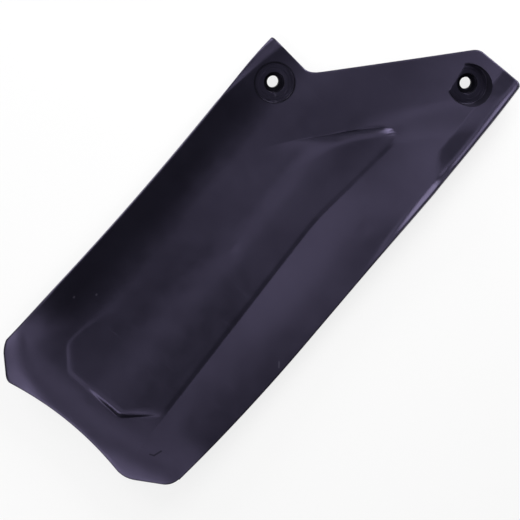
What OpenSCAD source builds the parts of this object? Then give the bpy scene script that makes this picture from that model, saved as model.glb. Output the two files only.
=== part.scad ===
// Shock absorber cover: one moulded sheet of black plastic.
// It lies on its back: the front face looks up (+Z), the slanted end points to +Y,
// and the side with the turned-up lip is at +X.

/* [Outline] */
// Overall length
sheet_length = 300; // [270:1:330]
// Overall width
sheet_width = 124; // [112:1:136]
// How far the left edge bows in between its ends
left_bow = 4.2; // [0:0.2:6]
// How far the left edge runs in towards the shoulder
left_taper = 1.5; // [0:0.1:3]
// How far the right edge runs in towards the bottom
right_taper = 5.2; // [0:0.2:9]
// How far the right edge runs in towards the top
top_taper = 1.9; // [0:0.1:4]
// Radius of the arched bottom edge
arch_r = 180; // [130:5:300]
// Rise of the arch above the bottom corners
arch_rise = 5.5; // [2:0.1:9]
// Width of the bevel at the lower left corner
left_bevel_w = 15; // [8:0.5:20]
// Height of the bevel at the lower left corner
left_bevel_h = 14.6; // [8:0.2:22]
// Width of the bevel at the lower right corner
right_bevel_w = 25; // [15:0.5:32]
// Height of the bevel at the lower right corner
right_bevel_h = 15.6; // [8:0.2:22]
// Length of the straight edge at the top right
top_flat = 29.5; // [24:0.5:40]
// Angle of the slanted top edge
slant_angle = 48.4; // [42:0.2:54]
// Drop from the top edge to the left shoulder
shoulder_drop = 68.7; // [56:0.1:76]
// Angle at which the left shoulder falls towards the notch
shoulder_angle = 4.7; // [0:0.1:8]
// Blend of the notch between the shoulder and the slanted edge
notch_blend = 5; // [2:0.5:9]
// Blend of the outer corners
corner_blend = 3; // [1:0.5:5]
// Blend of the two lower corners at the sides
side_blend = 4.5; // [1:0.5:7]
// Blend where the arch meets the lower right bevel
foot_blend = 5; // [1:0.5:8]

/* [Sheet] */
// Wall of the sheet
sheet_t = 2.5; // [2:0.1:3.2]
// Rise of the sheet from its middle to the bottom end
bottom_rise = 12; // [4:0.5:14]
// Rise of the sheet from its middle to the top end
top_rise = 3; // [1:0.2:7]
// Extra rise of the top end, where the sheet turns up
top_flare = 3; // [0:0.2:6]
// Width of the left side that curls up
curl_w = 28.5; // [24:0.5:36]
// Angle of the curled side at half length
curl_angle = 29; // [15:0.5:34]
// Angle of the curled side beside the left bore
curl_top_angle = 16; // [8:0.5:20]
// Width of the rolled flange at the left shoulder
flange_w = 6.7; // [4:0.1:9]
// Length over which the flange runs out down the left edge
flange_run = 44; // [30:1:60]
// Fall of the flange from its crease to its rim
flange_fall = 1.6; // [0.2:0.1:2.4]
// Rise of the right side below the fold
right_rise = 6.2; // [2:0.2:8]
// Angle of the slope that rises to the fold
slope_angle = 15; // [8:0.5:20]
// Width of the flat fold and lip beside the right edge
fold_w = 12; // [8:0.5:15]
// Width of the turned-up lip at the right edge
lip_w = 4.6; // [3:0.2:6]
// Rise of the turned-up lip
lip_rise = 1.8; // [0.4:0.1:3]
// Length of the fold down the right edge
fold_run = 74; // [50:1:90]
// Length of the bottom margin that flares down
flare_run = 26; // [16:1:34]
// Fall of the bottom margin
flare_fall = 4.4; // [0.5:0.1:6]
// Extra fall of the lower left corner, as if it were sharp
corner_fall = 4.4; // [2:0.5:10]

/* [Panel] */
// Distance from the slanted edge down to the panel
panel_margin = 52.4; // [46:0.2:60]
// Distance from the bottom corners up to the panel
panel_foot = 24.7; // [18:0.1:30]
// Rise of the panel
panel_rise = 0.4; // [0.2:0.1:1.6]
// Extra rise of the panel along its top wall
panel_top_rise = 0.9; // [0.2:0.1:2.4]
// Distance from the right edge to the panel at its waist
panel_waist = 38.2; // [34:0.2:42]
// Width of the right and bottom walls of the panel
panel_wall = 3; // [2:0.1:4.5]
// Width of the top wall of the panel
panel_top_wall = 5; // [4:0.1:9]
// Width over which the left side of the panel fades in
panel_fade = 24; // [14:0.5:30]
// Rise of the panel from its left half to its right half
swell_rise = 2.1; // [0.4:0.1:2.8]
// Width over which the panel rises to its right half near the bottom
swell_w = 29; // [18:1:40]
// Width over which the panel rises to its right half near the top
swell_top_w = 19; // [12:1:30]

/* [Bores] */
// Diameter of the screw bores
bore_d = 6.5; // [5:0.1:7.5]
// Diameter of the counterbores
counterbore_d = 11.2; // [9.5:0.1:13]
// Depth of the counterbores
counterbore_depth = 4; // [2:0.1:4.5]
// Diameter of the round pads
pad_d = 21.8; // [18:0.1:23]
// Depth of the left pad below the sheet at the bore
left_pad_depth = 0.4; // [0:0.1:1.5]
// Depth of the right pad below the sheet at the bore
right_pad_depth = 2.6; // [1.5:0.1:3]
// Draft angle of the wall round the pads
pad_draft = 9; // [4:1:20]
// Material from a pad to the back of its boss
pad_floor = 7; // [6.5:0.1:8]
// Wall of the boss outside its pad
boss_wall = 2.5; // [1.5:0.1:2.8]
// Angle by which the bores lean to the right
bore_lean = 14; // [10:0.5:18]
// Distance from the left edge to the left bore
left_bore_in = 17.3; // [15.5:0.1:20]
// Distance from the left shoulder down to the left bore
left_bore_down = 15.8; // [15:0.1:24]
// Distance from the right edge to the right bore
right_bore_in = 22.4; // [21.5:0.1:30]
// Distance from the top edge down to the right bore
right_bore_down = 18.1; // [16:0.1:24]

/* [Hidden] */
round_fn = 96;
half_l = sheet_length / 2;
half_w = sheet_width / 2;

// Points of the outline that more than one shape is measured from
shoulder_y = half_l - shoulder_drop;
slant_top_x = half_w - top_taper - top_flat;
notch_x = slant_top_x - shoulder_drop / tan(slant_angle);
arch_x = -5;

// Height of the sheet is worked out round this line across it
belly_y = -0.05 * sheet_length;

// Blends
function clamp01(t) = max(0, min(1, t));
function smooth(t) = let (c = clamp01(t)) c * c * (3 - 2 * c);
function mix(a, b, t) = a + (b - a) * t;
function soft_max(a, b, r) = max(a, b) + pow(max(r - abs(a - b), 0), 2) / (4 * r);
function soft_min(a, b, r) = -soft_max(-a, -b, r);
// Zero below t = 0, then a line of slope 1 that starts with a bend of length r
function ramp(t, r) = t <= 0 ? 0 : t < r ? t * t / (2 * r) : t - r / 2;

// Outline of the sheet
bow_y = -0.015 * sheet_length;
bow_run = half_l - left_bevel_h + bow_y;
left_taper_run = 25;
taper_start = -0.1 * sheet_length;
taper_run = half_l - right_bevel_h + taper_start;
lean_run = 0.25 * sheet_length;
function left_x(y) =
    -half_w
    + left_bow * (1 - pow((y - bow_y) / bow_run, 2))
    + left_taper * pow(max(0, y - shoulder_y + left_taper_run) / left_taper_run, 2);
function right_x(y) =
    half_w
    - right_taper * pow(max(0, taper_start - y) / taper_run, 2)
    - top_taper * pow(max(0, y - half_l + lean_run) / lean_run, 2);
function slant_y(x) = half_l + (x - slant_top_x) * tan(slant_angle);
function shoulder_edge_y(x) = shoulder_y - (x - notch_x) * tan(shoulder_angle);
function arch_y(x) = -half_l + arch_rise - arch_r + sqrt(arch_r * arch_r - pow(x - arch_x, 2));
function left_bevel_y(x) = -half_l + left_bevel_h - (x + half_w) * left_bevel_h / left_bevel_w;
function right_bevel_y(x) =
    -half_l + right_bevel_h + (x - half_w + right_taper) * right_bevel_h / right_bevel_w;
function bottom_y(x) =
    soft_max(soft_max(arch_y(x), left_bevel_y(x), corner_blend), right_bevel_y(x), foot_blend)
    + corner_cut(x + half_w, side_blend)
    + corner_cut(half_w - right_taper - x, side_blend);
function edge_y(x) = soft_min(soft_max(shoulder_edge_y(x), slant_y(x), notch_blend), half_l, corner_blend);
function corner_cut(d, r) = r * (1 - sqrt(1 - pow(clamp01(1 - d / r), 2)));
function top_y(x) =
    edge_y(x)
    - corner_cut(right_x(half_l) - x, corner_blend)
    - corner_cut(x - left_x(shoulder_y), corner_blend / 2);

// Outline of the panel: each side is a line, and the walls stand inside it
panel_top_x = 0.175 * sheet_width;
panel_right_x = half_w - panel_waist;
panel_waist_y = 0.08 * sheet_length;
panel_bottom_y = -half_l + panel_foot;
panel_top_y = half_l + (panel_top_x - slant_top_x) * tan(slant_angle) - panel_margin;
lower_lean = 0.042;
upper_lean = 0.1;
waist_blend = 1.5;
function panel_side_x(y) =
    soft_max(
        panel_right_x + lower_lean * (panel_waist_y - y),
        panel_right_x + upper_lean * (y - panel_waist_y),
        waist_blend);
function panel_top_d(x, y) = (slant_y(x) - panel_margin - y) * cos(slant_angle);
function bank_foot_x(y) = panel_side_x(min(y, panel_top_y));

// Rise of the left side, which is bent at the flange crease near the shoulder
curl_blend = 0.68 * curl_w;
curl_end_y = -half_l + 10;
curl_end_run = 48;
flange_y = shoulder_y - flange_run;
shoulder_fade = 0.75 * flange_run;
function flange_in(y) = flange_w * clamp01((y - flange_y) / flange_run);
function left_rise(x, y) =
    let (
        d = x - left_x(y),
        crease = flange_in(y),
        slope = mix(tan(curl_angle), tan(curl_top_angle), smooth((y - flange_y) / shoulder_fade)),
        curl = slope * ramp(curl_w - max(d, crease), curl_blend),
        fall = flange_fall * pow(max(0, crease - d) / flange_w, 3)
    )
    curl * smooth((y - curl_end_y) / curl_end_run) - fall;

// Rise of the right side: a bank beside the panel, which turns into a slope with
// a flat fold and a turned-up lip towards the top
bank_run = 50;
bank_fade = 45;
bank_low_share = 0.5;
bank_grow_y = -half_l + 40;
bank_grow_run = 120;
fold_fade = 20;
slope_start_x = 0.065 * sheet_width;
slope_blend = 52;
lip_run = fold_run + 80;
function bank_share(y) = smooth((y + half_l) / bank_fade);
function right_rise_at(x, y) =
    let (
        foot = bank_foot_x(y),
        bank_q = clamp01((x - foot) / (right_x(y) - foot)),
        grown = mix(bank_low_share, 1, smooth((y - bank_grow_y) / bank_grow_run)),
        bank = right_rise * grown * bank_q * (3 - bank_q * bank_q) / 2 * bank_share(y),
        fold = fold_w * smooth((y - half_l + fold_run) / fold_fade),
        slope = tan(slope_angle) * ramp(min(x, right_x(y) - fold) - slope_start_x, slope_blend),
        lip_q = clamp01(1 - (right_x(y) - x) / lip_w),
        lip = lip_rise * lip_q * lip_q * smooth((y - half_l + lip_run) / lip_run * 2)
    )
    mix(bank, slope, smooth((y - panel_waist_y) / bank_run)) + lip;

// Rise beside the foot of the bank, which makes up for the panel's swell there
inner_w = 24;
inner_fade = 20;
function inner_rise(x, y) =
    swell_rise
    * smooth((x - bank_foot_x(y) + inner_w) / inner_w)
    * bank_share(y)
    * smooth(0.5 + panel_top_d(x, y) / inner_fade);

// Rise along the sheet, and the fall of its lower margin and lower left corner
bottom_run = 0.5 * sheet_length;
top_run = 0.33 * sheet_length;
flare_y = belly_y + top_run;
corner_run_x = 45;
corner_run_y = 36;
function long_rise(x, y) =
    let (
        flare_q = clamp01((flare_run - y - half_l) / flare_run),
        turn_q = clamp01((y - flare_y) / (half_l - flare_y)),
        corner_q = clamp01(1 - (x + half_w) / corner_run_x - (y + half_l) / corner_run_y)
    )
    bottom_rise * smooth((belly_y - y) / bottom_run)
    + top_rise * smooth((y - belly_y) / top_run)
    + top_flare * turn_q * turn_q
    - flare_fall * flare_q * flare_q
    - corner_fall * corner_q * corner_q;

// Rise of the panel: how far inside each wall a point lies, as a share of that wall
panel_left_x = -0.306 * sheet_width;
panel_left_lean = 0.076;
panel_bevel_left_x = -0.205 * sheet_width;
panel_bevel_right_x = 0.092 * sheet_width;
panel_bevel_left_angle = 46;
panel_bevel_right_angle = 41;
panel_cap_angle = 33;
panel_round = 0.9;
panel_ramp = 60;
panel_ease = 0.45;
left_wall_start = 20;
swell_x = 0;
swell_lean = 0.02;
swell_turn_y = -half_l + 80;
swell_turn_run = 90;
function line_d(x, y, px, py, angle) = (x - px) * sin(angle) + (y - py) * cos(angle);
function panel_left_d(x, y) = x - panel_left_x - panel_left_lean * (y - panel_bottom_y);
function panel_left_wall(y) =
    mix(panel_wall, panel_fade, smooth((y - panel_bottom_y - left_wall_start) / panel_ramp));
function panel_share(x, y) =
    let (
        bottom = soft_min(
            line_d(x, y, panel_bevel_left_x, panel_bottom_y, panel_bevel_left_angle),
            line_d(x, y, panel_bevel_right_x, panel_bottom_y, -panel_bevel_right_angle),
            panel_wall),
        low = min(bottom, y - panel_bottom_y) / panel_wall,
        cap = -line_d(x, y, panel_top_x, panel_top_y, panel_cap_angle) / panel_top_wall,
        top = pow(max(0, soft_min(panel_top_d(x, y) / panel_top_wall, cap, panel_round)), panel_ease),
        side = (panel_side_x(y) - x) / panel_wall,
        left = panel_left_d(x, y) / panel_left_wall(y)
    )
    smooth(soft_min(soft_min(top, side, panel_round), soft_min(low, left, panel_round), panel_round));
function panel_z(x, y) =
    let (
        near_top = 1 - smooth(panel_top_d(x, y) / panel_ramp),
        off_side = smooth((panel_side_x(y) - x) / swell_w),
        width = mix(swell_w, swell_top_w, smooth((y - swell_turn_y) / swell_turn_run)),
        swell = swell_rise * smooth(0.5 + (x - swell_x - swell_lean * y) / width)
    )
    panel_share(x, y) * (panel_rise + panel_top_rise * near_top * off_side + swell - inner_rise(x, y));

// Middle of the sheet, its slope and its normal
function sheet_z(x, y) =
    left_rise(x, y) + right_rise_at(x, y) + inner_rise(x, y) + long_rise(x, y) + panel_z(x, y);
slope_step = 0.8;
function normal_at(x, y) =
    let (
        sx = (sheet_z(x + slope_step, y) - sheet_z(x - slope_step, y)) / (2 * slope_step),
        sy = (sheet_z(x, y + slope_step) - sheet_z(x, y - slope_step)) / (2 * slope_step)
    )
    [-sx, -sy, 1] / sqrt(1 + sx * sx + sy * sy);

// Grid of points over the sheet: columns and rows follow its creases and walls
function panel_floor_y(x) =
    min(panel_bottom_y + panel_foot / 2, soft_max(soft_max(panel_bottom_y,
        panel_bottom_y - (x - panel_bevel_left_x) * tan(panel_bevel_left_angle), panel_wall),
        panel_bottom_y + (x - panel_bevel_right_x) * tan(panel_bevel_right_angle), panel_wall));
least_flange = 2;
function column_lines(y) = [
    left_x(y),
    left_x(y) + max(flange_in(y), least_flange),
    left_x(y) + curl_w,
    bank_foot_x(y) - panel_wall,
    bank_foot_x(y),
    right_x(y) - fold_w,
    right_x(y) - lip_w,
    right_x(y)];
column_cells = [2, 7, 10, 2, 6, 2, 2];
function row_lines(x) = [
    bottom_y(x),
    panel_floor_y(x),
    panel_floor_y(x) + panel_wall,
    edge_y(x) - panel_margin - panel_top_wall / cos(slant_angle),
    edge_y(x) - panel_margin,
    top_y(x)];
row_cells = [6, 2, 34, 4, 14];
function stations(cells) = concat(
    [for (k = [0 : len(cells) - 1]) for (j = [0 : cells[k] - 1]) [k, j / cells[k]]],
    [[len(cells) - 1, 1]]);
function at_station(lines, s) = mix(lines[s[0]], lines[s[0] + 1], s[1]);
columns = stations(column_cells);
rows = stations(row_cells);
function grid_xy(column, row) =
    let (
        x0 = at_station(column_lines(0), column),
        y0 = at_station(row_lines(x0), row),
        x1 = at_station(column_lines(y0), column),
        y1 = at_station(row_lines(x1), row),
        x2 = at_station(column_lines(y1), column)
    )
    [x2, at_station(row_lines(x2), row)];
grid = [for (row = rows) for (column = columns) grid_xy(column, row)];
grid_normals = [for (p = grid) normal_at(p[0], p[1])];
function face_point(i, side) =
    [grid[i][0], grid[i][1], sheet_z(grid[i][0], grid[i][1])] + side * sheet_t / 2 * grid_normals[i];
front_points = [for (i = [0 : len(grid) - 1]) face_point(i, 1)];
back_points = [for (i = [0 : len(grid) - 1]) face_point(i, -1)];

// Bores: each is set out from the edges, with its place in plan and the depth of its pad
bore_axis = [sin(bore_lean), 0, cos(bore_lean)];
left_bore_y = shoulder_y - left_bore_down;
right_bore_y = half_l - right_bore_down;
bores = [
    [left_x(left_bore_y) + left_bore_in, left_bore_y, left_pad_depth],
    [right_x(right_bore_y) - right_bore_in, right_bore_y, right_pad_depth]];
function pad_centre(b) =
    [b[0], b[1], sheet_z(b[0], b[1]) + sheet_t / 2] - b[2] * bore_axis;
boss_r = pad_d / 2 + boss_wall;
function boss_low_z(b) = (pad_centre(b) - pad_floor * bore_axis)[2] - boss_r * sin(bore_lean);

// The origin is the middle of the box's underside
all_x = [for (p = concat(front_points, back_points)) p[0]];
all_y = [for (p = concat(front_points, back_points)) p[1]];
low_z = concat([for (p = back_points) p[2]], [for (b = bores) boss_low_z(b)]);
origin = [(min(all_x) + max(all_x)) / 2, (min(all_y) + max(all_y)) / 2, min(low_z)];

// Triangles between two neighbouring rows, and between the faces round the rim
n_columns = len(columns);
n_rows = len(rows);
back = len(grid);
function quad(a, b, c, d) = [[a, b, c], [a, c, d]];
function cell_quads(offset, turn) = [
    for (r = [0 : n_rows - 2]) for (c = [0 : n_columns - 2])
        let (i = offset + r * n_columns + c, q = [i, i + n_columns, i + n_columns + 1, i + 1])
        for (t = turn ? quad(q[3], q[2], q[1], q[0]) : quad(q[0], q[1], q[2], q[3])) t];
rim = concat(
    [for (c = [0 : n_columns - 2]) c],
    [for (r = [0 : n_rows - 2]) r * n_columns + n_columns - 1],
    [for (c = [n_columns - 1 : -1 : 1]) (n_rows - 1) * n_columns + c],
    [for (r = [n_rows - 1 : -1 : 1]) r * n_columns]);
rim_quads = [for (k = [0 : len(rim) - 1])
    let (a = rim[k], b = rim[(k + 1) % len(rim)])
    for (t = quad(a, b, b + back, a + back)) t];

module sheet() {
    polyhedron(
        points = concat(front_points, back_points),
        faces = concat(cell_quads(0, false), cell_quads(back, true), rim_quads),
        convexity = 8);
}

module at_pad(b) {
    translate(pad_centre(b)) rotate([0, bore_lean, 0]) children();
}

// Everything behind a plane that stays inside the sheet all over a boss
module behind_sheet(b) {
    n = normal_at(b[0], b[1]);
    reach = 4 * boss_r;
    head_lift = sheet_t / 4;
    translate([b[0], b[1], sheet_z(b[0], b[1]) + head_lift])
        rotate([0, acos(n[2]), atan2(n[1], n[0])])
            translate([-reach / 2, -reach / 2, -reach]) cube(reach);
}

module boss(b) {
    intersection() {
        at_pad(b) translate([0, 0, -pad_floor]) cylinder(r = boss_r, h = pad_floor + boss_r, $fn = round_fn);
        behind_sheet(b);
    }
}

// Round pad with its drafted wall, counterbore and bore
module bore_cut(b) {
    at_pad(b) {
        pocket_h = boss_r;
        cylinder(r1 = pad_d / 2, r2 = pad_d / 2 + pocket_h * tan(pad_draft), h = pocket_h, $fn = round_fn);
        translate([0, 0, -counterbore_depth])
            cylinder(d = counterbore_d, h = 2 * counterbore_depth, $fn = round_fn);
        translate([0, 0, -2 * pad_floor]) cylinder(d = bore_d, h = 2 * pad_floor, $fn = round_fn);
    }
}

module shock_cover() {
    color([0.13, 0.12, 0.16])
        translate(-origin)
            difference() {
                union() {
                    sheet();
                    for (b = bores) boss(b);
                }
                for (b = bores) bore_cut(b);
            }
}

shock_cover();
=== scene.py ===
"""Shock absorber cover in satin black plastic, lying face up on a white studio floor."""

import math

import bpy
import numpy as np
from mathutils import Matrix, Vector


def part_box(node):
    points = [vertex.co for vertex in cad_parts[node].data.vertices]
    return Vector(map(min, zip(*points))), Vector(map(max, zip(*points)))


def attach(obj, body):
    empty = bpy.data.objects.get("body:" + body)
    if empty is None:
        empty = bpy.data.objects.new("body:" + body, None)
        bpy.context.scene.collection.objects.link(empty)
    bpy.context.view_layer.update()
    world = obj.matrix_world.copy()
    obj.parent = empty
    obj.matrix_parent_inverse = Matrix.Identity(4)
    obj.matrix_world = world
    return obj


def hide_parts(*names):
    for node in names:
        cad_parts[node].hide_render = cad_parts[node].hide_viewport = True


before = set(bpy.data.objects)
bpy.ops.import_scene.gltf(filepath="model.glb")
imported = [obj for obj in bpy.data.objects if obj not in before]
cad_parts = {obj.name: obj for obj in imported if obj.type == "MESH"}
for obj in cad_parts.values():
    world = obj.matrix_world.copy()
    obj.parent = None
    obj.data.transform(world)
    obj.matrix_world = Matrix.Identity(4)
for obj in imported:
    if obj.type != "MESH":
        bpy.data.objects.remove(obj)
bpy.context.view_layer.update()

MM = 0.001

# Sizes of the sheet in millimetres and degrees, as the part is built
sheet_length = 300
sheet_width = 124
left_bow = 4.2
left_taper = 1.5
right_taper = 5.2
top_taper = 1.9
arch_r = 180
arch_rise = 5.5
left_bevel_w = 15
left_bevel_h = 14.6
right_bevel_w = 25
right_bevel_h = 15.6
top_flat = 29.5
slant_angle = math.radians(48.4)
shoulder_drop = 68.7
shoulder_angle = math.radians(4.7)
notch_blend = 5
corner_blend = 3
side_blend = 4.5
foot_blend = 5

sheet_t = 2.5
bottom_rise = 12
top_rise = 3
top_flare = 3
curl_w = 28.5
curl_angle = math.radians(29)
curl_top_angle = math.radians(16)
flange_w = 6.7
flange_run = 44
flange_fall = 1.6
right_rise = 6.2
slope_angle = math.radians(15)
fold_w = 12
lip_w = 4.6
lip_rise = 1.8
fold_run = 74
flare_run = 26
flare_fall = 4.4
corner_fall = 4.4

panel_margin = 52.4
panel_foot = 24.7
panel_rise = 0.4
panel_top_rise = 0.9
panel_waist = 38.2
panel_wall = 3
panel_top_wall = 5
panel_fade = 24
swell_rise = 2.1
swell_w = 29
swell_top_w = 19

bore_d = 6.5
counterbore_d = 11.2
counterbore_depth = 4
pad_d = 21.8
left_pad_depth = 0.4
right_pad_depth = 2.6
pad_draft = math.radians(9)
pad_floor = 7
boss_wall = 2.5
bore_lean = math.radians(14)
left_bore_in = 17.3
left_bore_down = 15.8
right_bore_in = 22.4
right_bore_down = 18.1

# Sizes that only show up close
rim_round = 0.6
pocket_round = 0.4
bore_round = 0.15
ring_groove = 0.12
groove_shares = (0.45, 0.75)

half_l = sheet_length / 2
half_w = sheet_width / 2
shoulder_y = half_l - shoulder_drop
slant_top_x = half_w - top_taper - top_flat
notch_x = slant_top_x - shoulder_drop / math.tan(slant_angle)
arch_x = -5
belly_y = -0.05 * sheet_length


def clamp01(t):
    return np.clip(t, 0, 1)


def smooth(t):
    c = clamp01(t)
    return c * c * (3 - 2 * c)


def mix(a, b, t):
    return a + (b - a) * t


def soft_max(a, b, r):
    return np.maximum(a, b) + np.maximum(r - np.abs(a - b), 0) ** 2 / (4 * r)


def soft_min(a, b, r):
    return -soft_max(-a, -b, r)


def ramp(t, r):
    """Zero below t = 0, then a line of slope 1 that starts with a bend of length r."""
    bend = clamp01(t / r) ** 2 * r / 2
    return bend + np.maximum(t - r, 0)


# Outline of the sheet
bow_y = -0.015 * sheet_length
bow_run = half_l - left_bevel_h + bow_y
left_taper_run = 25
taper_start = -0.1 * sheet_length
taper_run = half_l - right_bevel_h + taper_start
lean_run = 0.25 * sheet_length


def left_x(y):
    taper = left_taper * (np.maximum(0, y - shoulder_y + left_taper_run) / left_taper_run) ** 2
    return -half_w + left_bow * (1 - ((y - bow_y) / bow_run) ** 2) + taper


def right_x(y):
    taper = right_taper * (np.maximum(0, taper_start - y) / taper_run) ** 2
    lean = top_taper * (np.maximum(0, y - half_l + lean_run) / lean_run) ** 2
    return half_w - taper - lean


def slant_y(x):
    return half_l + (x - slant_top_x) * math.tan(slant_angle)


def shoulder_edge_y(x):
    return shoulder_y - (x - notch_x) * math.tan(shoulder_angle)


def corner_cut(d, r):
    return r * (1 - np.sqrt(1 - clamp01(1 - d / r) ** 2))


def bottom_y(x):
    arch = -half_l + arch_rise - arch_r + np.sqrt(arch_r**2 - (x - arch_x) ** 2)
    left_bevel = -half_l + left_bevel_h - (x + half_w) * left_bevel_h / left_bevel_w
    right_bevel = -half_l + right_bevel_h + (x - half_w + right_taper) * right_bevel_h / right_bevel_w
    foot = soft_max(soft_max(arch, left_bevel, corner_blend), right_bevel, foot_blend)
    return foot + corner_cut(x + half_w, side_blend) + corner_cut(half_w - right_taper - x, side_blend)


def edge_y(x):
    slanted = soft_max(shoulder_edge_y(x), slant_y(x), notch_blend)
    return soft_min(slanted, half_l, corner_blend)


def top_y(x):
    right_cut = corner_cut(right_x(half_l) - x, corner_blend)
    left_cut = corner_cut(x - left_x(shoulder_y), corner_blend / 2)
    return edge_y(x) - right_cut - left_cut


# Outline of the panel
panel_top_x = 0.175 * sheet_width
panel_right_x = half_w - panel_waist
panel_waist_y = 0.08 * sheet_length
panel_bottom_y = -half_l + panel_foot
panel_top_y = half_l + (panel_top_x - slant_top_x) * math.tan(slant_angle) - panel_margin
lower_lean = 0.042
upper_lean = 0.1
waist_blend = 1.5


def panel_side_x(y):
    lower = panel_right_x + lower_lean * (panel_waist_y - y)
    upper = panel_right_x + upper_lean * (y - panel_waist_y)
    return soft_max(lower, upper, waist_blend)


def panel_top_d(x, y):
    return (slant_y(x) - panel_margin - y) * math.cos(slant_angle)


def bank_foot_x(y):
    return panel_side_x(np.minimum(y, panel_top_y))


# Rise of the left side
curl_blend = 0.68 * curl_w
curl_end_y = -half_l + 10
curl_end_run = 48
flange_y = shoulder_y - flange_run
shoulder_fade = 0.75 * flange_run


def flange_in(y):
    return flange_w * clamp01((y - flange_y) / flange_run)


def left_rise(x, y):
    d = x - left_x(y)
    crease = flange_in(y)
    shoulder_share = smooth((y - flange_y) / shoulder_fade)
    slope = mix(math.tan(curl_angle), math.tan(curl_top_angle), shoulder_share)
    curl = slope * ramp(curl_w - np.maximum(d, crease), curl_blend)
    fall = flange_fall * (np.maximum(0, crease - d) / flange_w) ** 3
    return curl * smooth((y - curl_end_y) / curl_end_run) - fall


# Rise of the right side
bank_run = 50
bank_fade = 45
bank_low_share = 0.5
bank_grow_y = -half_l + 40
bank_grow_run = 120
fold_fade = 20
slope_start_x = 0.065 * sheet_width
slope_blend = 52
inner_w = 24
inner_fade = 20
lip_run = fold_run + 80


def bank_share(y):
    return smooth((y + half_l) / bank_fade)


def inner_rise(x, y):
    """Rise beside the foot of the bank, which makes up for the panel's swell there."""
    beside_bank = smooth((x - bank_foot_x(y) + inner_w) / inner_w) * bank_share(y)
    return swell_rise * beside_bank * smooth(0.5 + panel_top_d(x, y) / inner_fade)


def right_rise_at(x, y):
    foot = bank_foot_x(y)
    bank_q = clamp01((x - foot) / (right_x(y) - foot))
    grown = mix(bank_low_share, 1, smooth((y - bank_grow_y) / bank_grow_run))
    bank = right_rise * grown * bank_q * (3 - bank_q**2) / 2 * bank_share(y)
    fold = fold_w * smooth((y - half_l + fold_run) / fold_fade)
    slope = math.tan(slope_angle) * ramp(np.minimum(x, right_x(y) - fold) - slope_start_x, slope_blend)
    lip_q = clamp01(1 - (right_x(y) - x) / lip_w)
    lip = lip_rise * lip_q**2 * smooth((y - half_l + lip_run) / lip_run * 2)
    return mix(bank, slope, smooth((y - panel_waist_y) / bank_run)) + lip


# Rise along the sheet, and the fall of its lower margin and lower left corner
bottom_run = 0.5 * sheet_length
top_run = 0.33 * sheet_length
flare_y = belly_y + top_run
corner_run_x = 45
corner_run_y = 36


def long_rise(x, y):
    flare_q = clamp01((flare_run - y - half_l) / flare_run)
    corner_q = clamp01(1 - (x + half_w) / corner_run_x - (y + half_l) / corner_run_y)
    turn_q = clamp01((y - flare_y) / (half_l - flare_y))
    bottom = bottom_rise * smooth((belly_y - y) / bottom_run) - flare_fall * flare_q**2
    top = top_rise * smooth((y - belly_y) / top_run) + top_flare * turn_q**2
    return bottom + top - corner_fall * corner_q**2


# Rise of the panel
panel_left_x = -0.306 * sheet_width
panel_left_lean = 0.076
panel_bevel_left_x = -0.205 * sheet_width
panel_bevel_right_x = 0.092 * sheet_width
panel_bevel_left_angle = math.radians(46)
panel_bevel_right_angle = math.radians(41)
panel_cap_angle = math.radians(33)
panel_round = 0.9
panel_ramp = 60
left_wall_start = 20
panel_ease = 0.45
swell_x = 0
swell_lean = 0.02
swell_turn_y = -half_l + 80
swell_turn_run = 90


def line_d(x, y, px, py, angle):
    return (x - px) * math.sin(angle) + (y - py) * math.cos(angle)


def panel_share(x, y):
    bevels = soft_min(
        line_d(x, y, panel_bevel_left_x, panel_bottom_y, panel_bevel_left_angle),
        line_d(x, y, panel_bevel_right_x, panel_bottom_y, -panel_bevel_right_angle),
        panel_wall,
    )
    low = np.minimum(bevels, y - panel_bottom_y) / panel_wall
    cap = -line_d(x, y, panel_top_x, panel_top_y, panel_cap_angle) / panel_top_wall
    top = np.maximum(0, soft_min(panel_top_d(x, y) / panel_top_wall, cap, panel_round)) ** panel_ease
    side = (panel_side_x(y) - x) / panel_wall
    left_wall = mix(panel_wall, panel_fade, smooth((y - panel_bottom_y - left_wall_start) / panel_ramp))
    left = (x - panel_left_x - panel_left_lean * (y - panel_bottom_y)) / left_wall
    ends = soft_min(top, side, panel_round)
    return smooth(soft_min(ends, soft_min(low, left, panel_round), panel_round))


def panel_z(x, y):
    near_top = 1 - smooth(panel_top_d(x, y) / panel_ramp)
    off_side = smooth((panel_side_x(y) - x) / swell_w)
    width = mix(swell_w, swell_top_w, smooth((y - swell_turn_y) / swell_turn_run))
    swell = swell_rise * smooth(0.5 + (x - swell_x - swell_lean * y) / width)
    rise = panel_rise + panel_top_rise * near_top * off_side + swell - inner_rise(x, y)
    return panel_share(x, y) * rise


def sheet_z(x, y):
    """Height of the middle of the sheet."""
    return left_rise(x, y) + right_rise_at(x, y) + inner_rise(x, y) + long_rise(x, y) + panel_z(x, y)


# Distance over which the slope of the sheet is taken
slope_step = 0.5


def normals(x, y):
    sx = (sheet_z(x + slope_step, y) - sheet_z(x - slope_step, y)) / (2 * slope_step)
    sy = (sheet_z(x, y + slope_step) - sheet_z(x, y - slope_step)) / (2 * slope_step)
    n = np.stack([-sx, -sy, np.ones_like(sx)], axis=-1)
    return n / np.linalg.norm(n, axis=-1, keepdims=True)


# Grid of points over the sheet: its lines follow the edges, creases and walls, and
# they lie close together round the bores
least_flange = 2
left_bore_y = shoulder_y - left_bore_down
right_bore_y = half_l - right_bore_down
bores = [
    (float(left_x(left_bore_y)) + left_bore_in, left_bore_y, left_pad_depth),
    (float(right_x(right_bore_y)) - right_bore_in, right_bore_y, right_pad_depth),
]
pocket_margin = 4
pocket_reach = pad_d / 2 + pocket_margin
upper_band = 2
wall_step = panel_top_wall / math.cos(slant_angle)


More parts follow.
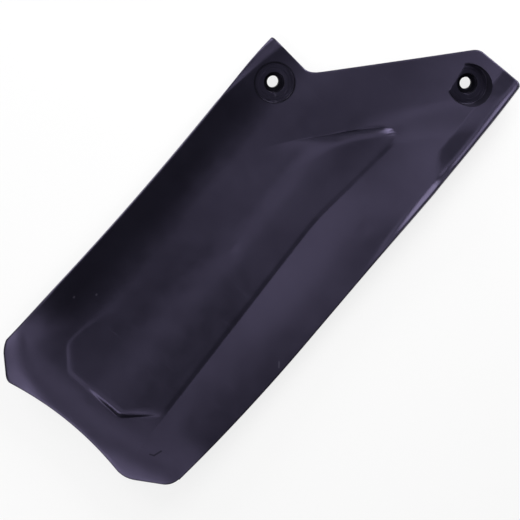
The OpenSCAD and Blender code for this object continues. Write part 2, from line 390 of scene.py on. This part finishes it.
def column_lines(y):
    left, right = left_x(y), right_x(y)
    foot = bank_foot_x(y)
    return [
        left,
        left + rim_round,
        left + least_flange + (flange_w - least_flange) * clamp01(flange_in(y) / flange_w),
        left + curl_w,
        foot - panel_wall,
        foot,
        right - fold_w,
        right - lip_w,
        right - rim_round,
        right,
    ]


column_cells = [4, 8, 36, 36, 6, 36, 9, 6, 4]


def panel_floor_y(x):
    left = panel_bottom_y - (x - panel_bevel_left_x) * math.tan(panel_bevel_left_angle)
    right = panel_bottom_y + (x - panel_bevel_right_x) * math.tan(panel_bevel_right_angle)
    floor = soft_max(soft_max(panel_bottom_y, left, panel_wall), right, panel_wall)
    return np.minimum(panel_bottom_y + panel_foot / 2, floor)


def row_lines(x):
    bottom, floor, top = bottom_y(x), panel_floor_y(x), top_y(x)
    foot = edge_y(x) - panel_margin
    return [
        bottom,
        bottom + rim_round,
        floor,
        floor + panel_wall,
        foot - wall_step,
        foot,
        edge_y(x) - left_bore_down - pocket_reach,
        edge_y(x) - left_bore_down + pocket_reach - upper_band,
        top - rim_round / math.cos(slant_angle),
        top,
    ]


row_cells = [4, 20, 6, 84, 16, 12, 46, 2, 4]


def stations(cells):
    """Pairs of a line's number and how far a point lies from it towards the next one."""
    pairs = [(k, j / n) for k, n in enumerate(cells) for j in range(n)] + [(len(cells) - 1, 1)]
    number = np.array([p[0] for p in pairs])
    share = np.array([p[1] for p in pairs])
    share = np.where(number == 0, share**2, share)
    last = number == len(cells) - 1
    return number, np.where(last, 1 - (1 - share) ** 2, share)


def at_stations(lines, where, axis):
    number, share = where
    lines = np.stack(np.broadcast_arrays(*lines))
    picked = np.arange(len(number))
    if axis == 1:
        low, high = lines[number, :, picked], lines[number + 1, :, picked]
        return (low + (high - low) * share[:, None]).T
    low, high = lines[number, picked, :], lines[number + 1, picked, :]
    return low + (high - low) * share[:, None]


def sheet_grid():
    """Plan positions of the grid: lines across hang on x, and lines along hang on y."""
    columns, rows = stations(column_cells), stations(row_cells)
    shape = (len(rows[0]), len(columns[0]))
    y = np.zeros(shape)
    for _ in range(4):
        x = at_stations(column_lines(y), columns, 1)
        y = at_stations(row_lines(x), rows, 0)
    return x, y


def edge_distance(x, y):
    slope = np.gradient(top_y(x[-1]), x[-1])
    upper = (top_y(x) - y) / np.sqrt(1 + slope**2)
    slope = np.gradient(bottom_y(x[0]), x[0])
    lower = (y - bottom_y(x)) / np.sqrt(1 + slope**2)
    sides = np.minimum(x - left_x(y), right_x(y) - x)
    return np.maximum(0, np.minimum(np.minimum(upper, lower), sides))


# Bores: their frame, and the pads that are cut into the front face
lean = Matrix.Rotation(bore_lean, 3, "Y")
bore_axis = np.array(lean @ Vector((0, 0, 1)))
bore_side = np.array(lean @ Vector((1, 0, 0)))
boss_r = pad_d / 2 + boss_wall


def pad_centre(bore):
    x, y, depth = bore
    return np.array([x, y, float(sheet_z(x, y)) + sheet_t / 2]) - depth * bore_axis


def make_mesh(name, points, faces):
    mesh = bpy.data.meshes.new(name)
    mesh.from_pydata((np.asarray(points) * MM).tolist(), [], faces)
    mesh.validate()
    piece = bpy.data.objects.new(name, mesh)
    bpy.context.scene.collection.objects.link(piece)
    return piece


# Shallow dents in the front face: plan position, radius and depth
dents = [(-0.9, -16.6, 2.9, 0.13), (46.2, 36.9, 4.2, 0.08), (-6.4, -126, 5.5, 0.1)]


def dent_depth(x, y):
    depth = 0
    for px, py, radius, deep in dents:
        q = clamp01(1 - ((x - px) ** 2 + (y - py) ** 2) / radius**2)
        depth = depth + deep * q * q * (3 - 2 * q)
    return depth


def sheet_mesh():
    x, y = sheet_grid()
    middle = np.stack([x, y, sheet_z(x, y)], axis=-1)
    n = normals(x, y)
    inset = clamp01(1 - edge_distance(x, y) / rim_round)
    half_t = (sheet_t / 2 - rim_round * (1 - np.sqrt(1 - inset**2)))[..., None]
    front, back = middle + n * (half_t - dent_depth(x, y)[..., None]), middle - n * half_t
    rows, columns = x.shape
    at = np.arange(rows * columns).reshape(rows, columns)
    quads = np.stack([at[:-1, :-1], at[:-1, 1:], at[1:, 1:], at[1:, :-1]], axis=-1).reshape(-1, 4)
    rim = np.concatenate([at[0, :-1], at[:-1, -1], at[-1, :0:-1], at[:0:-1, 0]])
    after = np.roll(rim, -1)
    below = rows * columns
    sides = np.stack([rim, rim + below, after + below, after], axis=-1)
    faces = np.concatenate([quads, quads[:, ::-1] + below, sides]).tolist()
    points = np.concatenate([front.reshape(-1, 3), back.reshape(-1, 3)])
    return make_mesh("shock_absorber_cover", points, faces)


def arc(r, h, radius, start, end, steps=5):
    """Points of an arc centred on (r, h) of a profile, between two angles in degrees."""
    angles = [math.radians(start + (end - start) * k / steps) for k in range(steps + 1)]
    return [(r + radius * math.cos(a), h + radius * math.sin(a)) for a in angles]


# Fineness of the turned pieces, and the bend from which an edge is drawn sharp
turn_segments = 96
cap_rings = 8
sharp_angle = math.radians(40)


def turned(profile, centre):
    """Solid of revolution round a bore's axis; its profile starts and ends on the axis."""
    rings = profile[1:-1]
    turns = [2 * math.pi * k / turn_segments for k in range(turn_segments)]
    around = [math.cos(a) * bore_side + math.sin(a) * np.array([0, 1, 0]) for a in turns]
    points = [centre + r * side + h * bore_axis for r, h in rings for side in around]
    points += [centre + profile[0][1] * bore_axis, centre + profile[-1][1] * bore_axis]
    foot, head = len(points) - 2, len(points) - 1
    faces = []
    for k in range(turn_segments):
        after = (k + 1) % turn_segments
        for i in range(len(rings) - 1):
            low, high = i * turn_segments, (i + 1) * turn_segments
            faces.append([low + k, low + after, high + after, high + k])
        top = (len(rings) - 1) * turn_segments
        faces.append([foot, after, k])
        faces.append([head, top + k, top + after])
    return np.array(points), faces


def under_sheet(point):
    """Slides a point down the bores' axis until it lies no higher than the middle of the sheet."""
    for _ in range(8):
        point = point + bore_axis * min(0, float(sheet_z(point[0], point[1])) - point[2])
    return point


def boss(bore, number):
    """Boss behind a pad; its head ends inside the sheet."""
    lower = arc(boss_r - rim_round, rim_round - pad_floor, rim_round, -90, 0)
    rings = [(boss_r * k / cap_rings, boss_r) for k in range(cap_rings, 0, -1)]
    points, faces = turned([(0, -pad_floor), *lower, *rings, (0, boss_r)], pad_centre(bore))
    for i in range(len(lower) * turn_segments, len(points)):
        points[i] = under_sheet(points[i])
    points[-2] = pad_centre(bore) - pad_floor * bore_axis
    return make_mesh(f"boss_{number}", points, faces)


def groove(r):
    """Small round groove in the pad, as the rings that the mould leaves there."""
    return [(r - ring_groove, 0), (r, -ring_groove), (r + ring_groove, 0)]


def bore_cutter(bore, number):
    """Pad with its drafted wall, counterbore and bore, with the small rounds at their mouths."""
    bore_r, ring_r, pad_r = bore_d / 2, counterbore_d / 2, pad_d / 2
    wall_h = boss_r
    profile = [
        (0, -2 * pad_floor),
        (bore_r + bore_round, -2 * pad_floor),
        *arc(bore_r + bore_round, bore_round - pad_floor, bore_round, 270, 180),
        *arc(bore_r + bore_round, -counterbore_depth - bore_round, bore_round, 180, 90),
        *arc(ring_r - bore_round, bore_round - counterbore_depth, bore_round, 270, 360),
        *arc(ring_r + bore_round, -bore_round, bore_round, 180, 90),
        *[point for share in groove_shares for point in groove(mix(ring_r, pad_r, share))],
        *arc(pad_r - pocket_round, pocket_round, pocket_round, 270, 360),
        (pad_r + wall_h * math.tan(pad_draft), wall_h),
        (0, wall_h),
    ]
    points, faces = turned(profile, pad_centre(bore))
    return make_mesh(f"cutter_{number}", points, faces)


def combine(piece, other, operation):
    change = piece.modifiers.new(operation, "BOOLEAN")
    change.operation = operation
    change.solver = "MANIFOLD"
    change.object = other
    bpy.context.view_layer.objects.active = piece
    bpy.ops.object.modifier_apply(modifier=change.name)
    bpy.data.objects.remove(other)


def make_cover():
    """The cover and how far its mesh was moved, in mm, so that its box sits on the CAD box."""
    cover = sheet_mesh()
    for number, bore in enumerate(bores):
        combine(cover, boss(bore, number), "UNION")
    for number, bore in enumerate(bores):
        combine(cover, bore_cutter(bore, number), "DIFFERENCE")
    mesh = cover.data
    low = np.array(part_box("shock_cover")[0]) / MM
    high = np.array(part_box("shock_cover")[1]) / MM
    points = np.empty(len(mesh.vertices) * 3)
    mesh.vertices.foreach_get("co", points)
    points = points.reshape(-1, 3) / MM
    middle = (points.min(axis=0) + points.max(axis=0)) / 2
    shift = (low + high) / 2 - middle
    shift[2] = low[2] - points[:, 2].min()
    mesh.vertices.foreach_set("co", ((points + shift) * MM).ravel())
    mesh.update()
    mesh.polygons.foreach_set("use_smooth", [True] * len(mesh.polygons))
    mesh.set_sharp_from_angle(angle=sharp_angle)
    return cover, shift


# Materials
def node_tree(material):
    material.use_nodes = True
    tree = material.node_tree
    tree.nodes.clear()
    return tree


def add_node(tree, kind, **settings):
    node = tree.nodes.new(kind)
    for name, value in settings.items():
        if name in node.inputs:
            node.inputs[name].default_value = value
        else:
            setattr(node, name, value)
    return node


def feed(tree, sockets, values):
    """Links a value that comes from another node, and sets any other."""
    for socket, value in zip(sockets, values):
        if isinstance(value, bpy.types.NodeSocket):
            tree.links.new(value, socket)
        else:
            socket.default_value = value


def math_node(tree, operation, *values):
    node = add_node(tree, "ShaderNodeMath", operation=operation)
    feed(tree, node.inputs, values)
    return node.outputs[0]


def vector_node(tree, operation, *values):
    node = add_node(tree, "ShaderNodeVectorMath", operation=operation)
    feed(tree, node.inputs, values)
    return node.outputs["Value"] if operation in ("LENGTH", "DOT_PRODUCT") else node.outputs[0]


def along_line(tree, direction, amount):
    node = add_node(tree, "ShaderNodeVectorMath", operation="SCALE")
    feed(tree, [node.inputs[0], node.inputs["Scale"]], [direction, amount])
    return node.outputs[0]


def most(tree, masks):
    """Largest of several masks."""
    joined = masks[0]
    for mask in masks[1:]:
        joined = math_node(tree, "MAXIMUM", joined, mask)
    return joined


def noise(tree, place, scale, detail):
    node = add_node(tree, "ShaderNodeTexNoise", Scale=scale, Detail=detail)
    tree.links.new(place, node.inputs["Vector"])
    return node.outputs[0]


def ranged(tree, value, low, high, to_low, to_high):
    limits = {"From Min": low, "From Max": high, "To Min": to_low, "To Max": to_high}
    node = add_node(tree, "ShaderNodeMapRange", **limits)
    tree.links.new(value, node.inputs["Value"])
    return node.outputs["Result"]


def stroke(tree, plan, start, end, width):
    """Mask of a short mark on the front face, from one plan position to another in mm."""
    start, end = Vector((*start, 0)) * MM, Vector((*end, 0)) * MM
    line = end - start
    from_start = vector_node(tree, "SUBTRACT", plan, start)
    share = vector_node(tree, "DOT_PRODUCT", from_start, line / line.length_squared)
    share = math_node(tree, "MINIMUM", math_node(tree, "MAXIMUM", share, 0), 1)
    aside = vector_node(tree, "SUBTRACT", from_start, along_line(tree, line, share))
    distance = vector_node(tree, "LENGTH", aside)
    return ranged(tree, distance, width * MM * 0.3, width * MM * 0.7, 1, 0)


def strokes(tree, plan, marks):
    return most(tree, [stroke(tree, plan, *mark) for mark in marks])


# Painted shade round the bores, at the pad's foot and on its wall: how strong it is, and how far
# it reaches in mm; the last two say how steep a face gets the painted shade, by the height of its normal
foot_shade = 0.75
foot_reach = 0.75
wall_shade = 0.6
wall_reach = 4
steep_below = 0.55
flat_above = 0.85


def bore_painted_shade(tree, place):
    """Mask of painted shade in the counterbores, at the foot of the pads and on their walls."""
    facing = add_node(tree, "ShaderNodeSeparateXYZ")
    tree.links.new(add_node(tree, "ShaderNodeNewGeometry").outputs["Normal"], facing.inputs[0])
    steep = ranged(tree, facing.outputs["Z"], steep_below, flat_above, 1, 0)
    ring_r, pad_r = counterbore_d / 2 * MM, pad_d / 2 * MM
    masks = []
    for bore in bores:
        middle = Vector(pad_centre(bore) + part_shift) * MM
        from_middle = vector_node(tree, "SUBTRACT", place, middle)
        height = vector_node(tree, "DOT_PRODUCT", from_middle, bore_axis)
        aside = vector_node(tree, "SUBTRACT", from_middle, along_line(tree, bore_axis, height))
        distance = vector_node(tree, "LENGTH", aside)
        cut = ranged(tree, height, -0.25 * MM, -0.05 * MM, 0, 1)
        from_foot = math_node(tree, "ABSOLUTE", math_node(tree, "SUBTRACT", distance, pad_r))
        foot = ranged(tree, from_foot, foot_reach / 3 * MM, foot_reach * MM, foot_shade, 0)
        near = ranged(tree, distance, pad_r + (wall_reach - 1) * MM, pad_r + wall_reach * MM, wall_shade, 0)
        # Painted shade: a dark counterbore ring, a dark line at the pad's foot, and a darkened steep pad
        # wall
        masks += [
            ranged(tree, distance, ring_r * 0.97, ring_r * 1.05, 1, 0),
            math_node(tree, "MULTIPLY", cut, foot),
            math_node(tree, "MULTIPLY", steep, near),
        ]
    return most(tree, masks)


def mixed(tree, share, low, high):
    node = add_node(tree, "ShaderNodeMix", data_type="RGBA")
    colours = [socket for socket in node.inputs if socket.type == "RGBA"]
    feed(tree, [node.inputs[0], *colours], [share, low, high])
    return next(socket for socket in node.outputs if socket.type == "RGBA")


# Colours of the plastic, and its marks: both ends in plan and the width, in mm
plastic_dark = (0.0085, 0.0078, 0.0135, 1)
plastic_pale = (0.0107, 0.01, 0.0168, 1)
plastic_worn = (0.034, 0.032, 0.046, 1)
# The darkest colour is that of the gate mark and of the painted shade in creases and round the bores
plastic_mark_and_shade = (0.004, 0.004, 0.0055, 1)
gate_mark = [((36.1, -129.9), (38.3, -128.9), 0.7), ((38.3, -128.9), (39.7, -124.6), 0.9)]
pale_marks = [
    ((56.9, -47.5), (58.9, -49.9), 0.7),
    ((-41.0, -83.2), (-41.0, -83.6), 0.9),
    ((-49.1, -91.8), (-49.1, -92.2), 0.9),
]


def plastic_bump(tree, place, grain, rub):
    """Slight unevenness of the sheet, its fine grain and the rubbed lines, one on the other."""
    layers = [
        (noise(tree, place, 42, 1), 1, 0.3, False),
        (grain, 0.35, 0.012, False),
        (rub, 0.5, 0.02, True),
    ]
    normal = None
    for height, strength, depth, invert in layers:
        bump = add_node(tree, "ShaderNodeBump", Strength=strength, Distance=depth * MM, invert=invert)
        tree.links.new(height, bump.inputs["Height"])
        if normal:
            tree.links.new(normal, bump.inputs["Normal"])
        normal = bump.outputs[0]
    return normal


def black_plastic():
    material = bpy.data.materials.new("satin_black_plastic")
    tree = node_tree(material)
    link = tree.links.new
    out = add_node(tree, "ShaderNodeOutputMaterial")
    shader = add_node(tree, "ShaderNodeBsdfPrincipled")
    shader.inputs["Specular Tint"].default_value = (0.67, 0.58, 1, 1)
    link(shader.outputs[0], out.inputs["Surface"])

    place = add_node(tree, "ShaderNodeTexCoord").outputs["Object"]
    plan = vector_node(tree, "MULTIPLY", place, (1, 1, 0))

    # Clouds about 30 mm wide, smears of 8 mm, grain of 0.4 mm, and rubbed lines that run askew
    cloud = noise(tree, place, 34, 3)
    film = noise(tree, place, 130, 5)
    grain = noise(tree, place, 2400, 2)
    rub_turn, rub_scale = (0, 0, math.radians(24)), (40, 900, 40)
    rub_place = add_node(tree, "ShaderNodeMapping", Rotation=rub_turn, Scale=rub_scale)
    link(place, rub_place.inputs["Vector"])
    rub = ranged(tree, noise(tree, rub_place.outputs[0], 1, 4), 0.62, 0.72, 0, 1)

    # Wear on sharp edges, and painted shade in creases and round the bores
    bent = add_node(tree, "ShaderNodeNewGeometry").outputs["Pointiness"]
    worn = ranged(tree, bent, 0.53, 0.62, 0, 1)
    worn = math_node(tree, "MULTIPLY", worn, ranged(tree, film, 0.35, 0.6, 0.2, 1))
    pale = most(tree, [worn, strokes(tree, plan, pale_marks)])
    painted_shade = most(tree, [ranged(tree, bent, 0.4, 0.48, 0.6, 0), bore_painted_shade(tree, place)])
    gate = strokes(tree, plan, gate_mark)

    tone = mixed(tree, ranged(tree, cloud, 0.35, 0.65, 0, 1), plastic_dark, plastic_pale)
    tone = mixed(tree, pale, tone, plastic_worn)
    # The gate mark and the painted shade darken the tone
    tone = mixed(tree, most(tree, [gate, painted_shade]), tone, plastic_mark_and_shade)
    link(tone, shader.inputs["Base Color"])

    roughness = ranged(tree, film, 0.3, 0.7, 0.275, 0.325)
    for mask, more in ((rub, 0.05), (pale, 0.1)):
        roughness = math_node(tree, "ADD", roughness, math_node(tree, "MULTIPLY", mask, more))
    link(roughness, shader.inputs["Roughness"])

    shine = ranged(tree, cloud, 0.3, 0.7, 0.58, 0.67)
    # The gate mark and the painted shade also lower the specular level
    for mask, left in ((gate, 0.45), (painted_shade, 0.3)):
        shine = math_node(tree, "MULTIPLY", shine, ranged(tree, mask, 0, 1, 1, left))
    link(shine, shader.inputs["Specular IOR Level"])
    link(plastic_bump(tree, place, grain, rub), shader.inputs["Normal"])
    return material


# Share of plain white in the floor as the camera sees it; the rest keeps the shadow
floor_glow = 0.8


def floor_white():
    material = bpy.data.materials.new("floor_white")
    tree = node_tree(material)
    link = tree.links.new
    out = add_node(tree, "ShaderNodeOutputMaterial")
    paper = add_node(tree, "ShaderNodeBsdfDiffuse")
    paper.inputs["Color"].default_value = (0.9, 0.9, 0.9, 1)
    glow = add_node(tree, "ShaderNodeEmission")
    blend = add_node(tree, "ShaderNodeMixShader")
    rays = add_node(tree, "ShaderNodeLightPath")
    share = math_node(tree, "MULTIPLY", rays.outputs["Is Camera Ray"], floor_glow)
    feed(tree, blend.inputs, [share, paper.outputs[0], glow.outputs[0]])
    link(blend.outputs[0], out.inputs["Surface"])
    return material


# Photograph's framing, in which the camera looks straight down and the part leans, and the
# level of the world's light
picture_roll = math.radians(40.3)
picture_w = 279.5 * MM
aim = Vector((13.9, -12.55, 8)) * MM
camera_height = 1.8
world_level = 0.003


def make_camera():
    data = bpy.data.cameras.new("camera")
    data.sensor_width = 36
    data.lens = data.sensor_width * camera_height / picture_w
    camera = bpy.data.objects.new("camera", data)
    camera.location = aim + Vector((0, 0, camera_height))
    camera.rotation_euler = (0, 0, picture_roll)
    bpy.context.scene.collection.objects.link(camera)
    bpy.context.scene.camera = camera


def softbox(name, azimuth, elevation, distance, size, power):
    """Lamp aimed at the part; its azimuth is counted on the picture, from the right."""
    turn = picture_roll + math.radians(azimuth)
    rise = math.radians(elevation)
    level = math.cos(rise)
    away = Vector((math.cos(turn) * level, math.sin(turn) * level, math.sin(rise)))
    data = bpy.data.lights.new(name, "AREA")
    data.shape = "RECTANGLE"
    data.size, data.size_y = size
    data.energy = power
    lamp = bpy.data.objects.new(name, data)
    lamp.location = aim + away * distance
    lamp.rotation_euler = away.to_track_quat("Z", "Y").to_euler()
    bpy.context.scene.collection.objects.link(lamp)


def make_world():
    world = bpy.data.worlds.new("studio")
    world.use_nodes = True
    world.node_tree.nodes["Background"].inputs["Color"].default_value = (*[world_level] * 3, 1)
    bpy.context.scene.world = world


def make_floor():
    mesh = bpy.data.meshes.new("floor")
    reach = 3
    corners = [(-reach, -reach, 0), (reach, -reach, 0), (reach, reach, 0), (-reach, reach, 0)]
    mesh.from_pydata(corners, [], [[0, 1, 2, 3]])
    floor = bpy.data.objects.new("floor", mesh)
    bpy.context.scene.collection.objects.link(floor)
    mesh.materials.append(floor_white())


cover, part_shift = make_cover()
cover.data.materials.clear()
cover.data.materials.append(black_plastic())
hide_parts("shock_cover")
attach(cover, "root")

make_camera()
make_floor()
make_world()

# Soft studio lamps: azimuth and elevation in degrees, distance and size in metres, power
softbox("key", 135, 20, 1.0, (0.55, 0.55), 5.89)
softbox("rim", 60, 30, 0.5, (0.25, 0.25), 2.03)
softbox("front", 225, 40, 1.0, (0.5, 0.5), 3)
softbox("upper_left", 135, 60, 1.0, (0.45, 0.45), 0.867)
softbox("upper_side", 180, 60, 1.0, (0.45, 0.45), 0.653)
softbox("upper_front", 270, 60, 1.0, (0.45, 0.45), 0.909)
softbox("top_front", 230, 78, 1.0, (0.35, 0.35), 0.449)
softbox("top_back", 71, 64, 0.5, (0.2, 0.2), 0.123)

bpy.context.scene.view_settings.view_transform = "Standard"
